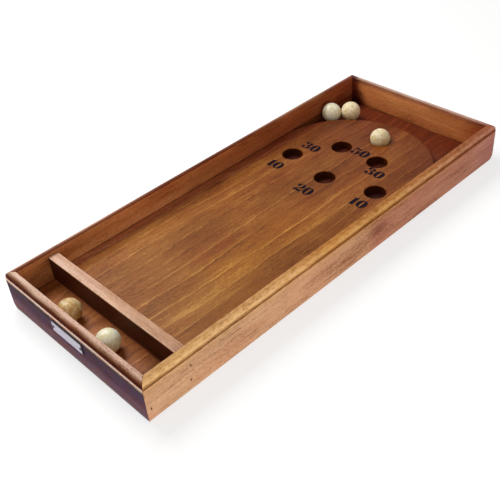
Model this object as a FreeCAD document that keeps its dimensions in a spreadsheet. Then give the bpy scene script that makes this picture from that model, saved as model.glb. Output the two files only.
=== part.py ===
import FreeCAD, Part
import math
import os

import Sketcher
from FreeCAD import Placement, Rotation, Vector

# Bagatelle board game: a mitred wooden tray with a raised playfield that ends in a half circle, a crossbar
# that closes off the ball tray at the player's end, and five loose balls.
# Axes: +Y from the player towards the far end, +X to the player's right, +Z up. The origin is the middle of
# the footprint, nameplate and pin heads included, on the underside.

doc = FreeCAD.newDocument("bagatelle_board")

# Driving dimensions in millimetres. "drop" is measured down from the top of the rails, "reach" along +Y
# from the inner face of the near end board, and "ahead" along +Y from the middle of the half circle.
DIMENSIONS = [
    ("inner_width", "250"),
    ("inner_length", "642"),
    ("rail_thickness", "12"),
    ("rail_height", "57"),
    ("ledge_drop", "8"),
    ("ledge_width", "1.8"),
    ("bead_radius", "6"),
    ("arris_radius", "0.5"),
    ("foot_radius", "2.5"),
    ("floor_drop", "44"),
    ("panel_thickness", "6"),
    ("groove_depth", "6"),
    ("groove_slack", "0.5"),
    ("playfield_thickness", "12"),
    ("playfield_side_gap", "0.15"),
    ("gutter_width", "39.5"),
    ("crossbar_reach", "45.2"),
    ("crossbar_thickness", "14.5"),
    ("crossbar_drop", "5.7"),
    ("crossbar_end_gap", "0.2"),
    ("crossbar_round", "0.8"),
    ("cup_clearance", "0.8"),
    ("cup_rim_ease", "0.6"),
    ("side_cup_spread", "78.2"),
    ("side_cup_ahead", "-32.6"),
    ("middle_cup_spread", "33.5"),
    ("middle_cup_ahead", "28.5"),
    ("centre_cup_ahead", "-49.2"),
    ("head_cup_ahead", "78.5"),
    ("ball_diameter", "30.5"),
    ("ball_gap", "0.3"),
    ("corner_ball_setback", "71"),
    ("pair_spread", "21.6"),
    ("left_tray_ball_spread", "46"),
    ("right_tray_ball_spread", "31"),
    ("tray_ball_reach", "18.4"),
    ("plate_width", "60"),
    ("plate_height", "16"),
    ("plate_thickness", "1.5"),
    ("plate_bevel", "0.5"),
    ("plate_corner_radius", "1"),
    ("plate_drop", "21.9"),
    ("plate_offset", "-3.5"),
    ("pin_spacing", "54"),
    ("pin_head_diameter", "3"),
    ("pin_head_height", "0.7"),
    ("pin_shank_diameter", "1.4"),
    ("pin_shank_length", "9"),
    ("brad_head_diameter", "2"),
    ("brad_head_height", "1"),
    ("brad_shank_diameter", "1.4"),
    ("brad_length", "30"),
    ("brad_sink", "0.3"),
    ("crossbar_brad_upper_drop", "20"),
    ("crossbar_brad_lower_drop", "40.5"),
    ("crossbar_brad_setback", "2.4"),
    ("corner_brad_drop", "39"),
    ("screw_head_diameter", "6"),
    ("screw_head_height", "2.4"),
    ("screw_shank_diameter", "3"),
    ("screw_length", "14"),
    ("screw_edge_distance", "20"),
    ("screw_end_distance", "30"),
    ("fastener_clearance", "0.05"),
]

sheet = doc.addObject("Spreadsheet::Sheet", "Sizes")
for row, (alias, number) in enumerate(DIMENSIONS, start=1):
    sheet.set(f"A{row}", alias)
    sheet.set(f"B{row}", number)
    sheet.setAlias(f"B{row}", alias)
doc.recompute()


class Size:
    """A length with the sheet expression that gives it, so that sums of sizes stay bound to the sheet."""

    def __init__(self, value, text):
        self.value = value
        self.text = text

    def __add__(self, other):
        return Size(self.value + other.value, f"({self.text} + {other.text})")

    def __sub__(self, other):
        return Size(self.value - other.value, f"({self.text} - {other.text})")

    def __mul__(self, factor):
        return Size(self.value * factor, f"({self.text} * {factor})")

    def __truediv__(self, divisor):
        return Size(self.value / divisor, f"({self.text} / {divisor})")

    def __neg__(self):
        return Size(-self.value, f"(0 - {self.text})")

    def other_leg(self, leg):
        """With self as the long side of a right triangle and leg as one leg, the other leg."""
        return Size(
            math.sqrt(self.value**2 - leg.value**2),
            f"sqrt({self.text} * {self.text} - {leg.text} * {leg.text})",
        )


def size(alias):
    return Size(float(sheet.get(alias)), f"Sizes.{alias}")


ZERO = Size(0.0, "0")


# Sizes that more than one piece shares.
half_width = size("inner_width") / 2
half_length = size("inner_length") / 2
thickness = size("rail_thickness")
rail_height = size("rail_height")
floor_level = rail_height - size("floor_drop")
panel_underside = floor_level - size("panel_thickness")
arc_radius = half_width - size("playfield_side_gap")
ball_radius = size("ball_diameter") / 2
cup_radius = (size("ball_diameter") + size("cup_clearance")) / 2
front_reach = size("plate_thickness") + size("pin_head_height")
near_face = front_reach / 2 - half_length
far_face = front_reach / 2 + half_length
crossbar_near = near_face + size("crossbar_reach")
crossbar_far = crossbar_near + size("crossbar_thickness")
arc_middle = far_face - size("gutter_width") - arc_radius

# Each cup by its spread to the right of the centre line, and its place ahead of the half circle's middle.
CUPS = [
    (-size("side_cup_spread"), size("side_cup_ahead")),
    (size("side_cup_spread"), size("side_cup_ahead")),
    (-size("middle_cup_spread"), size("middle_cup_ahead")),
    (size("middle_cup_spread"), size("middle_cup_ahead")),
    (ZERO, size("centre_cup_ahead")),
    (ZERO, size("head_cup_ahead")),
]

# Rotations that turn a fastener's own +Z, from its head to its point, to where it is driven.
DRIVEN = {
    "+X": Rotation(Vector(0, 1, 0), 90),
    "-X": Rotation(Vector(0, 1, 0), -90),
    "+Y": Rotation(Vector(1, 0, 0), -90),
    "+Z": Rotation(),
}


def bind(item, **paths):
    for path, length in paths.items():
        item.setExpression(path.replace("__", "."), length.text)
    return item


def place(item, x, y, z, rotation=Rotation()):
    """Put an object at a place worked out from the sheet."""
    item.Placement = Placement(Vector(x.value, y.value, z.value), rotation)
    return bind(item, Placement__Base__x=x, Placement__Base__y=y, Placement__Base__z=z)


def add_sketch(body, name, role):
    """A sketch on one of the body's own origin planes."""
    sketch = body.newObject("Sketcher::SketchObject", name)
    plane = next(part for part in body.Origin.OriginFeatures if part.Role == role)
    sketch.AttachmentSupport = [(plane, "")]
    sketch.MapMode = "FlatFace"
    return sketch


def fix(sketch, kind, *references, length):
    """A dimension constraint that follows the sheet."""
    index = sketch.addConstraint(Sketcher.Constraint(kind, *references, length.value))
    sketch.setExpression(f"Constraints[{index}]", length.text)


def pin_point(sketch, line, level, length):
    """Hold an upright edge at an x, or a level edge at a y."""
    if length is ZERO:
        sketch.addConstraint(Sketcher.Constraint("PointOnObject", line, 1, -1 if level else -2))
    else:
        fix(sketch, "DistanceY" if level else "DistanceX", -1, 1, line, 1, length=length)


def outline(sketch, corners):
    """A closed outline of level and upright edges. A corner is (x, y, radius), or (x, y, None) if sharp."""
    points = [Vector(x.value, y.value, 0) for x, y, _ in corners]
    radii = [0 if radius is None else radius.value for _, _, radius in corners]
    count = len(corners)
    ways = [(points[(i + 1) % count] - points[i]).normalize() for i in range(count)]
    lines = []
    for i in range(count):
        after = (i + 1) % count
        start = points[i] + ways[i] * radii[i]
        end = points[after] - ways[i] * radii[after]
        line = sketch.addGeometry(Part.LineSegment(start, end), False)
        level = abs(ways[i].x) > abs(ways[i].y)
        sketch.addConstraint(Sketcher.Constraint("Horizontal" if level else "Vertical", line))
        pin_point(sketch, line, level, corners[i][1] if level else corners[i][0])
        lines.append(line)
    for i in range(count):
        if corners[i][2] is None:
            sketch.addConstraint(Sketcher.Constraint("Coincident", lines[i - 1], 2, lines[i], 1))
        else:
            round_corner(sketch, points[i], ways[i - 1], ways[i], corners[i][2], lines[i - 1], lines[i])


def round_corner(sketch, corner, way_in, way_out, radius, line_in, line_out):
    """An arc that joins two edges of an outline, tangent to both."""
    centre = corner - way_in * radius.value + way_out * radius.value
    left_turn = way_in.cross(way_out).z > 0
    first, last = (-way_out, way_in) if left_turn else (way_in, -way_out)
    circle = Part.Circle(centre, Vector(0, 0, 1), radius.value)
    start = math.atan2(first.y, first.x)
    end = math.atan2(last.y, last.x)
    arc = sketch.addGeometry(Part.ArcOfCircle(circle, start, end), False)
    entry, leave = (1, 2) if left_turn else (2, 1)
    sketch.addConstraint(Sketcher.Constraint("Tangent", line_in, 2, arc, entry))
    sketch.addConstraint(Sketcher.Constraint("Tangent", arc, leave, line_out, 1))
    fix(sketch, "Radius", arc, length=radius)


def add_circle(sketch, x, y, radius):
    circle = Part.Circle(Vector(x.value, y.value, 0), Vector(0, 0, 1), radius.value)
    index = sketch.addGeometry(circle, False)
    if x is ZERO:
        sketch.addConstraint(Sketcher.Constraint("PointOnObject", index, 3, -2))
    else:
        fix(sketch, "DistanceX", -1, 1, index, 3, length=x)
    if y is ZERO:
        sketch.addConstraint(Sketcher.Constraint("PointOnObject", index, 3, -1))
    else:
        fix(sketch, "DistanceY", -1, 1, index, 3, length=y)
    fix(sketch, "Radius", index, length=radius)


def add_pad(body, sketch, name, length, symmetric=False):
    pad = body.newObject("PartDesign::Pad", name)
    pad.Profile = sketch
    pad.SideType = "Symmetric" if symmetric else "One side"
    sketch.Visibility = False
    return bind(pad, Length=length)


def add_through_pocket(body, sketch, name):
    """Cut a sketch on the underside through everything above it, and check that it removes material."""
    doc.recompute()
    before = body.Shape.Volume
    pocket = body.newObject("PartDesign::Pocket", name)
    pocket.Profile = sketch
    pocket.Type = "ThroughAll"
    pocket.Reversed = True
    doc.recompute()
    if not body.Shape.Volume < before:
        raise RuntimeError(f"{name} cuts nothing")
    return pocket


def add_body(label):
    body = doc.addObject("PartDesign::Body", label)
    body.Label = label
    return body


def join(label, items, kind="Part::MultiFuse"):
    """Fuse items into one solid or, with Part::Compound, keep them as separate solids of one node."""
    joined = doc.addObject(kind, label)
    joined.Label = label
    if kind == "Part::Compound":
        joined.Links = items
    else:
        joined.Shapes = items
    return joined


def drill(label, blank, bores):
    """The blank with the bores of its fasteners cut out of it."""
    cut = doc.addObject("Part::Cut", label)
    cut.Label = label
    cut.Base = blank
    cut.Tool = join(f"{label}_bores", bores, "Part::Compound")
    return cut


def shift(spot, way, distance):
    """A place moved along the way a fastener is driven."""
    axis = "XYZ".index(way[1])
    moved = list(spot)
    moved[axis] = moved[axis] + distance if way[0] == "+" else moved[axis] - distance
    return moved


def rod(name, spot, way, length, radius):
    """A cylinder that starts at a spot and runs the way a fastener is driven."""
    item = doc.addObject("Part::Cylinder", name)
    return place(bind(item, Radius=radius, Height=length), *spot, DRIVEN[way])


def cone(name, spot, way, length, radius, end_radius):
    item = doc.addObject("Part::Cone", name)
    bind(item, Radius1=radius, Radius2=end_radius, Height=length)
    return place(item, *spot, DRIVEN[way])


# --- Rails ------------------------------------------------------------------------------------------------
# All four share one moulded section: a bead that falls outward to a narrow ledge, a plain outer face with a
# rounded foot, and a groove inside for the base panel. Local +X points outward from the inner face, local Y
# runs along the rail, and both ends are cut to the mitre.


def rail_section(sketch):
    bead_reach = thickness - size("ledge_width")
    ledge_level = rail_height - size("ledge_drop")
    outline(
        sketch,
        [
            (ZERO, ZERO, None),
            (thickness, ZERO, size("foot_radius")),
            (thickness, ledge_level, size("arris_radius")),
            (bead_reach, ledge_level, None),
            (bead_reach, rail_height, size("bead_radius")),
            (ZERO, rail_height, size("arris_radius")),
            (ZERO, floor_level, None),
            (size("groove_depth"), floor_level, None),
            (size("groove_depth"), panel_underside, None),
            (ZERO, panel_underside, None),
        ],
    )


def mitre_corner(sketch, half_run, end):
    """The triangle that the mitre takes off one end, with end +1 or -1 along local Y."""
    inner = half_run * end
    outer = (half_run + thickness) * end
    corners = [(ZERO, inner), (ZERO, outer), (thickness, outer)]
    points = [Vector(x.value, y.value, 0) for x, y in corners]
    lines = [
        sketch.addGeometry(Part.LineSegment(points[i], points[(i + 1) % 3]), False) for i in range(3)
    ]
    for i, (x, y) in enumerate(corners):
        sketch.addConstraint(Sketcher.Constraint("Coincident", lines[i - 1], 2, lines[i], 1))
        if x is ZERO:
            sketch.addConstraint(Sketcher.Constraint("PointOnObject", lines[i], 1, -2))
        else:
            fix(sketch, "DistanceX", -1, 1, lines[i], 1, length=x)
        fix(sketch, "DistanceY", -1, 1, lines[i], 1, length=y)


def make_rail(label, half_run, x, y, turn):
    body = add_body(f"{label}_blank")
    section = add_sketch(body, f"{label}_section", "XZ_Plane")
    rail_section(section)
    add_pad(body, section, f"{label}_length", (half_run + thickness) * 2, symmetric=True)
    mitres = add_sketch(body, f"{label}_mitres", "XY_Plane")
    mitre_corner(mitres, half_run, 1)
    mitre_corner(mitres, half_run, -1)
    add_through_pocket(body, mitres, f"{label}_mitre_cut")
    return place(body, x, y, ZERO, Rotation(Vector(0, 0, 1), turn))


case_middle = front_reach / 2
right_blank = make_rail("right_rail", half_length, half_width, case_middle, 0)
far_blank = make_rail("far_end_board", half_width, ZERO, far_face, 90)
left_blank = make_rail("left_rail", half_length, -half_width, case_middle, 180)
near_blank = make_rail("near_end_board", half_width, ZERO, near_face, 270)


# --- Brads ------------------------------------------------------------------------------------------------
# Finishing nails driven through the long rails, their heads punched just under the surface.


def make_brad(name, spot, way):
    spot = shift(spot, way, size("brad_sink"))
    head = rod(f"{name}_head", spot, way, size("brad_head_height"), size("brad_head_diameter") / 2)
    shank = rod(f"{name}_shank", spot, way, size("brad_length"), size("brad_shank_diameter") / 2)
    return join(name, [head, shank])


def brad_bores(name, spot, way):
    """The hole that a brad's head and shank sit in, open at the surface."""
    clearance = size("fastener_clearance")
    sunk = size("brad_sink") + size("brad_head_height")
    wide = size("brad_head_diameter") / 2 + clearance
    narrow = size("brad_shank_diameter") / 2 + clearance
    deep = size("brad_sink") + size("brad_length") + clearance
    return [
        rod(f"{name}_head_bore", spot, way, sunk + clearance, wide),
        rod(f"{name}_shank_bore", spot, way, deep, narrow),
    ]


case_side = half_width + thickness
corner_level = rail_height - size("corner_brad_drop")
crossbar_brad_middle = crossbar_near + size("crossbar_thickness") / 2
crossbar_brad_rows = [
    ("upper", crossbar_brad_middle, rail_height - size("crossbar_brad_upper_drop")),
    (
        "lower",
        crossbar_brad_middle - size("crossbar_brad_setback"),
        rail_height - size("crossbar_brad_lower_drop"),
    ),
]
corner_brad_rows = [
    ("near", near_face - thickness / 2, corner_level),
    ("far", far_face + thickness / 2, corner_level),
]

brads = {"crossbar": [], "corner": []}
bores = {"left": [], "right": [], "crossbar": [], "near": [], "far": []}
for side, surface, way in (("left", -case_side, "+X"), ("right", case_side, "-X")):
    for row, y, z in crossbar_brad_rows:
        name = f"{side}_{row}_crossbar_brad"
        brads["crossbar"].append(make_brad(name, (surface, y, z), way))
        holes = brad_bores(name, (surface, y, z), way)
        bores[side] += holes
        bores["crossbar"] += holes
    for row, y, z in corner_brad_rows:
        name = f"{side}_{row}_corner_brad"
        brads["corner"].append(make_brad(name, (surface, y, z), way))
        holes = brad_bores(name, (surface, y, z), way)
        bores[side] += holes
        bores[row] += holes
join("crossbar_brads", brads["crossbar"], "Part::Compound")
join("corner_brads", brads["corner"], "Part::Compound")


# --- Nameplate --------------------------------------------------------------------------------------------
# A bare metal plate on the near end board, bevelled round its face and held by a pin at each end.

board_front = near_face - thickness
plate_level = rail_height - size("plate_drop")
pin_places = [
    ("left", size("plate_offset") - size("pin_spacing") / 2),
    ("right", size("plate_offset") + size("pin_spacing") / 2),
]

plate = add_body("nameplate")
plate_face = add_sketch(plate, "nameplate_face", "XZ_Plane")
half_plate_width = size("plate_width") / 2
half_plate_height = size("plate_height") / 2
corner_radius = size("plate_corner_radius")
outline(
    plate_face,
    [
        (-half_plate_width, -half_plate_height, corner_radius),
        (half_plate_width, -half_plate_height, corner_radius),
        (half_plate_width, half_plate_height, corner_radius),
        (-half_plate_width, half_plate_height, corner_radius),
    ],
)
pin_bore_radius = size("pin_shank_diameter") / 2 + size("fastener_clearance")
add_circle(plate_face, -size("pin_spacing") / 2, ZERO, pin_bore_radius)
add_circle(plate_face, size("pin_spacing") / 2, ZERO, pin_bore_radius)
plate_pad = add_pad(plate, plate_face, "nameplate_sheet", size("plate_thickness"))
doc.recompute()
front_edges = [
    f"Edge{number}"
    for number, edge in enumerate(plate_pad.Shape.Edges, start=1)
    if abs(edge.BoundBox.YMin + size("plate_thickness").value) < 1e-6
    and edge.BoundBox.YLength < 1e-6
    and not (isinstance(edge.Curve, Part.Circle) and abs(edge.Curve.Radius - pin_bore_radius.value) < 1e-6)
]
plate_bevel = plate.newObject("PartDesign::Chamfer", "nameplate_bevel")
plate_bevel.Base = (plate_pad, front_edges)
bind(plate_bevel, Size=size("plate_bevel"))
place(plate, size("plate_offset"), board_front, plate_level)

pins = []
pin_bores = []
for side, x in pin_places:
    under_head = (x, board_front - size("plate_thickness"), plate_level)
    crown = shift(under_head, "+Y", -size("pin_head_height"))
    head = cone(
        f"{side}_pin_head",
        crown,
        "+Y",
        size("pin_head_height"),
        size("pin_head_diameter") / 3,
        size("pin_head_diameter") / 2,
    )
    length = size("plate_thickness") + size("pin_shank_length")
    shank = rod(f"{side}_pin_shank", under_head, "+Y", length, size("pin_shank_diameter") / 2)
    pins.append(join(f"{side}_pin", [head, shank]))
    pin_bores.append(
        rod(
            f"{side}_pin_bore",
            (x, board_front, plate_level),
            "+Y",
            size("pin_shank_length") + size("fastener_clearance"),
            pin_bore_radius,
        )
    )
join("nameplate_pins", pins, "Part::Compound")

drill("right_rail", right_blank, bores["right"])
drill("left_rail", left_blank, bores["left"])
drill("near_end_board", near_blank, bores["near"] + pin_bores)
drill("far_end_board", far_blank, bores["far"])


# --- Crossbar ---------------------------------------------------------------------------------------------
# A plank on edge between the long rails. It stands on the base panel.

crossbar_body = add_body("crossbar_blank")
crossbar_section = add_sketch(crossbar_body, "crossbar_section", "YZ_Plane")
crossbar_height = rail_height - size("crossbar_drop") - floor_level
outline(
    crossbar_section,
    [
        (ZERO, ZERO, None),
        (size("crossbar_thickness"), ZERO, None),
        (size("crossbar_thickness"), crossbar_height, size("crossbar_round")),
        (ZERO, crossbar_height, size("crossbar_round")),
    ],
)
crossbar_length = (half_width - size("crossbar_end_gap")) * 2
add_pad(crossbar_body, crossbar_section, "crossbar_length", crossbar_length, symmetric=True)
place(crossbar_body, ZERO, crossbar_near, floor_level)
drill("crossbar", crossbar_body, bores["crossbar"])


# --- Playfield board --------------------------------------------------------------------------------------
# It lies on the base panel from the crossbar to the half circle, with six cups bored through to the panel.
# Its local origin is the middle of the half circle, on the underside.

playfield_body = add_body("playfield_board_blank")
playfield_outline = add_sketch(playfield_body, "playfield_outline", "XY_Plane")
straight_run = arc_middle - crossbar_far
corners = [
    Vector(-arc_radius.value, 0, 0),
    Vector(-arc_radius.value, -straight_run.value, 0),
    Vector(arc_radius.value, -straight_run.value, 0),
    Vector(arc_radius.value, 0, 0),
]
left_edge, near_edge, right_edge = [
    playfield_outline.addGeometry(Part.LineSegment(corners[i], corners[i + 1]), False) for i in range(3)
]
half_circle = Part.ArcOfCircle(Part.Circle(Vector(0, 0, 0), Vector(0, 0, 1), arc_radius.value), 0, math.pi)
far_edge = playfield_outline.addGeometry(half_circle, False)
for constraint in (
    Sketcher.Constraint("Coincident", left_edge, 2, near_edge, 1),
    Sketcher.Constraint("Coincident", near_edge, 2, right_edge, 1),
    Sketcher.Constraint("Tangent", right_edge, 2, far_edge, 1),
    Sketcher.Constraint("Tangent", far_edge, 2, left_edge, 1),
    Sketcher.Constraint("Coincident", far_edge, 3, -1, 1),
    Sketcher.Constraint("Vertical", left_edge),
    Sketcher.Constraint("Horizontal", near_edge),
):
    playfield_outline.addConstraint(constraint)
fix(playfield_outline, "Radius", far_edge, length=arc_radius)
fix(playfield_outline, "DistanceY", -1, 1, near_edge, 1, length=-straight_run)
add_pad(playfield_body, playfield_outline, "playfield_sheet", size("playfield_thickness"))

cup_sketch = add_sketch(playfield_body, "cup_circles", "XY_Plane")
for x, y in CUPS:
    add_circle(cup_sketch, x, y, cup_radius)
cup_pocket = add_through_pocket(playfield_body, cup_sketch, "cups")
rim_edges = [
    f"Edge{number}"
    for number, edge in enumerate(cup_pocket.Shape.Edges, start=1)
    if isinstance(edge.Curve, Part.Circle)
    and abs(edge.BoundBox.ZMin - size("playfield_thickness").value) < 1e-6
    and edge.BoundBox.ZLength < 1e-6
]
rim_ease = playfield_body.newObject("PartDesign::Chamfer", "cup_rim_ease")
rim_ease.Base = (cup_pocket, rim_edges)
bind(rim_ease, Size=size("cup_rim_ease"))
place(playfield_body, ZERO, arc_middle, floor_level)


# --- Base panel and the screws that hold the playfield board ----------------------------------------------

panel = doc.addObject("Part::Box", "base_panel_blank")
tongue = size("groove_depth") - size("groove_slack")
bind(
    panel,
    Length=(half_width + tongue) * 2,
    Width=(half_length + tongue) * 2,
    Height=size("panel_thickness"),
)
place(panel, -half_width - tongue, near_face - tongue, panel_underside)

screw_columns = [
    ("left", size("screw_edge_distance") - half_width),
    ("right", half_width - size("screw_edge_distance")),
]
first_row = crossbar_far + size("screw_end_distance")
last_row = arc_middle - size("screw_end_distance") / 2
screw_rows = [("near", first_row), ("middle", (first_row + last_row) / 2), ("far", last_row)]

screws = []
screw_bores = []
for column, x in screw_columns:
    for row, y in screw_rows:
        name = f"{column}_{row}_screw"
        spot = (x, y, panel_underside)
        clearance = size("fastener_clearance")
        head_radius = size("screw_head_diameter") / 2
        shank_radius = size("screw_shank_diameter") / 2
        head_height = size("screw_head_height")
        head = cone(f"{name}_head", spot, "+Z", head_height, head_radius, shank_radius)
        shank = rod(f"{name}_shank", spot, "+Z", size("screw_length"), shank_radius)
        screws.append(join(name, [head, shank]))
        sink = cone(
            f"{name}_sink", spot, "+Z", head_height, head_radius + clearance, shank_radius + clearance
        )
        bore_length = size("screw_length") + clearance
        screw_bores += [sink, rod(f"{name}_bore", spot, "+Z", bore_length, shank_radius + clearance)]
join("playfield_screws", screws, "Part::Compound")
drill("base_panel", panel, screw_bores)
drill("playfield_board", playfield_body, screw_bores)


# --- Balls ------------------------------------------------------------------------------------------------
# Two lie together in the gutter's far left corner, one sits in the head cup, and two lie in the near tray.
# Each stays a small gap clear of what it rests on and leans against.


def make_ball(label, x, y):
    ball = doc.addObject("Part::Sphere", label)
    ball.Label = label
    bind(ball, Radius=ball_radius)
    place(ball, x, y, floor_level + ball_radius + size("ball_gap"))


corner_x = ball_radius + size("ball_gap") - half_width
corner_y = far_face - size("corner_ball_setback")
apart = size("ball_diameter") + size("ball_gap")
tray_row = near_face + size("tray_ball_reach")
make_ball("ball_1", corner_x, corner_y)
make_ball("ball_2", corner_x + size("pair_spread"), corner_y + apart.other_leg(size("pair_spread")))
make_ball("ball_3", ZERO, arc_middle + size("head_cup_ahead"))
make_ball("ball_4", -size("left_tray_ball_spread"), tray_row)
make_ball("ball_5", size("right_tray_ball_spread"), tray_row)


# --- Check and write --------------------------------------------------------------------------------------

NODES = [
    "left_rail",
    "right_rail",
    "near_end_board",
    "far_end_board",
    "base_panel",
    "playfield_board",
    "crossbar",
    "nameplate",
    "nameplate_pins",
    "crossbar_brads",
    "corner_brads",
    "playfield_screws",
    "ball_1",
    "ball_2",
    "ball_3",
    "ball_4",
    "ball_5",
]

doc.recompute()
for item in doc.Objects:
    if "Invalid" in item.State or "Error" in item.State:
        raise RuntimeError(f"{item.Label} did not compute: {item.State}")

os.makedirs("parts", exist_ok=True)
for node in NODES:
    item = doc.getObjectsByLabel(node)[0]
    shape = item.Shape
    if shape.isNull() or not shape.isValid():
        raise RuntimeError(f"{node} has no valid shape")
    shape.exportStep(f"parts/{node}.step")
    print(node, len(shape.Solids), "solid", round(shape.Volume, 1), "mm3")
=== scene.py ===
"""A bagatelle board: a shallow stained beech tray with a playfield, six cups, a return tray and five balls."""

import math

import bmesh
import bpy
from mathutils import Matrix, Vector


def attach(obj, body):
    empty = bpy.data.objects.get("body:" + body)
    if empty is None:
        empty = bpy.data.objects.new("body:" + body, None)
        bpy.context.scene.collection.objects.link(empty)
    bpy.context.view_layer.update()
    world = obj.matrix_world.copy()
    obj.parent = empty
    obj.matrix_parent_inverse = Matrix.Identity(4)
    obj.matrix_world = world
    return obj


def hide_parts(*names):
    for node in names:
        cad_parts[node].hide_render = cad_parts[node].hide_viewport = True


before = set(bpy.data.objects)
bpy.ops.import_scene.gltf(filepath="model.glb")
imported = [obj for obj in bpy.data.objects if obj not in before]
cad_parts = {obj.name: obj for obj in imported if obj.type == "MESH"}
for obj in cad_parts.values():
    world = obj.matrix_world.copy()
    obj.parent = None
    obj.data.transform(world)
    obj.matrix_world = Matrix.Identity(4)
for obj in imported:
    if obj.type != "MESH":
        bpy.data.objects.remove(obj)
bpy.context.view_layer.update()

MM = 0.001


# --- Side rails and end boards ---
# Four lengths of moulded beech, stained, lacquered and mitred at the corners. The moulding is a bead that
# falls outward to a narrow ledge; the outer face is plain, and a groove inside takes the base panel.

inner_width = 250 * MM
inner_length = 642 * MM
rail_thickness = 12 * MM
rail_height = 57 * MM
ledge_drop = 8 * MM
ledge_width = 1.8 * MM
bead_radius = 6 * MM
arris_radius = 0.5 * MM
foot_radius = 2.5 * MM
floor_level = 13 * MM
panel_thickness = 6 * MM
groove_depth = 6 * MM
near_face = -319.9 * MM
far_face = near_face + inner_length
case_middle = (near_face + far_face) / 2


class Wire:
    """A value on its way through a node tree. A sum written with it adds the nodes that work it out."""

    def __init__(self, tree, socket):
        self.tree, self.socket = tree, socket

    def __add__(self, other):
        return calc(self.tree, "ADD", self, other)

    def __sub__(self, other):
        return calc(self.tree, "SUBTRACT", self, other)

    def __rsub__(self, other):
        return calc(self.tree, "SUBTRACT", other, self)

    def __mul__(self, other):
        return calc(self.tree, "MULTIPLY", self, other)

    def __truediv__(self, other):
        return calc(self.tree, "DIVIDE", self, other)

    def at_least(self, low):
        return calc(self.tree, "MAXIMUM", self, low)

    def at_most(self, high):
        return calc(self.tree, "MINIMUM", self, high)


def feed(tree, node, inputs):
    """Fills inputs of a node: a wire or socket is linked, anything else is a value."""
    for key, value in inputs.items():
        socket = getattr(value, "socket", value)
        if isinstance(socket, bpy.types.NodeSocket):
            tree.links.new(socket, node.inputs[key])
        else:
            node.inputs[key].default_value = value


def put(tree, kind, inputs=None, **settings):
    """One node, its settings and its inputs."""
    family = next(f for f in ("ShaderNode", "FunctionNode", "GeometryNode") if hasattr(bpy.types, f + kind))
    node = tree.nodes.new(family + kind)
    for name, value in settings.items():
        setattr(node, name, value)
    feed(tree, node, inputs or {})
    return node


def first(tree, kind, inputs=None, **settings):
    """The first output of a new node."""
    return Wire(tree, put(tree, kind, inputs, **settings).outputs[0])


def new_tree(name, takes, gives=None):
    """An empty node tree, its inputs by name, and the node that its outputs are fed to. An input is given by the
    value that it starts at, or else by its kind. A tree that gives nothing by name makes a piece."""
    tree = bpy.data.node_groups.new(name, "ShaderNodeTree" if gives else "GeometryNodeTree")
    kinds = {bool: "Bool", int: "Int", float: "Float", tuple: "Vector"}
    for label, start in takes.items():
        socket = kinds.get(type(start), start)
        made = tree.interface.new_socket(name=label, in_out="INPUT", socket_type=f"NodeSocket{socket}")
        if socket != start:
            made.default_value = start
    for label, socket in (gives or {"Piece": "Geometry"}).items():
        tree.interface.new_socket(name=label, in_out="OUTPUT", socket_type=f"NodeSocket{socket}")
    given = {socket.name: Wire(tree, socket) for socket in tree.nodes.new("NodeGroupInput").outputs}
    return tree, given, tree.nodes.new("NodeGroupOutput")


def calc(tree, operation, *values, clamp=False):
    return first(tree, "Math", dict(enumerate(values)), operation=operation, use_clamp=clamp)


def xyz(tree, *values):
    return first(tree, "CombineXYZ", dict(enumerate(values)))


def parts(tree, vector):
    return [Wire(tree, socket) for socket in put(tree, "SeparateXYZ", {0: vector}).outputs]


def shifted(tree, spot, *steps):
    """A place moved by a step along each axis."""
    return first(tree, "VectorMath", {0: spot, 1: xyz(tree, *steps)}, operation="ADD")


def span(tree, value, low, high, to_low=0.0, to_high=1.0):
    """Value from low..high brought smoothly to to_low..to_high."""
    inputs = {"Value": value, "From Min": low, "From Max": high, "To Min": to_low, "To Max": to_high}
    return first(tree, "MapRange", inputs, interpolation_type="SMOOTHSTEP")


def noise(tree, vector, detail=2.0, rough=0.5, scale=1.0):
    """Noise of so many repeats a unit, given once or for each axis."""
    if isinstance(scale, tuple):
        vector, scale = first(tree, "VectorMath", {0: vector, 1: scale}, operation="MULTIPLY"), 1.0
    return first(tree, "TexNoise", {"Vector": vector, "Scale": scale, "Detail": detail, "Roughness": rough})


def mixed(tree, share, under, over, mode="MIX"):
    inputs = {0: share, 6: under, 7: over}
    return put(tree, "Mix", inputs, data_type="RGBA", blend_type=mode, clamp_factor=True).outputs[2]


def tint(red, green, blue):
    """A colour given as 0-255 on screen, as the linear value that a shader takes."""
    levels = [c / 255 for c in (red, green, blue)]
    return (*[c / 12.92 if c <= 0.04045 else ((c + 0.055) / 1.055) ** 2.4 for c in levels], 1.0)


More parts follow.
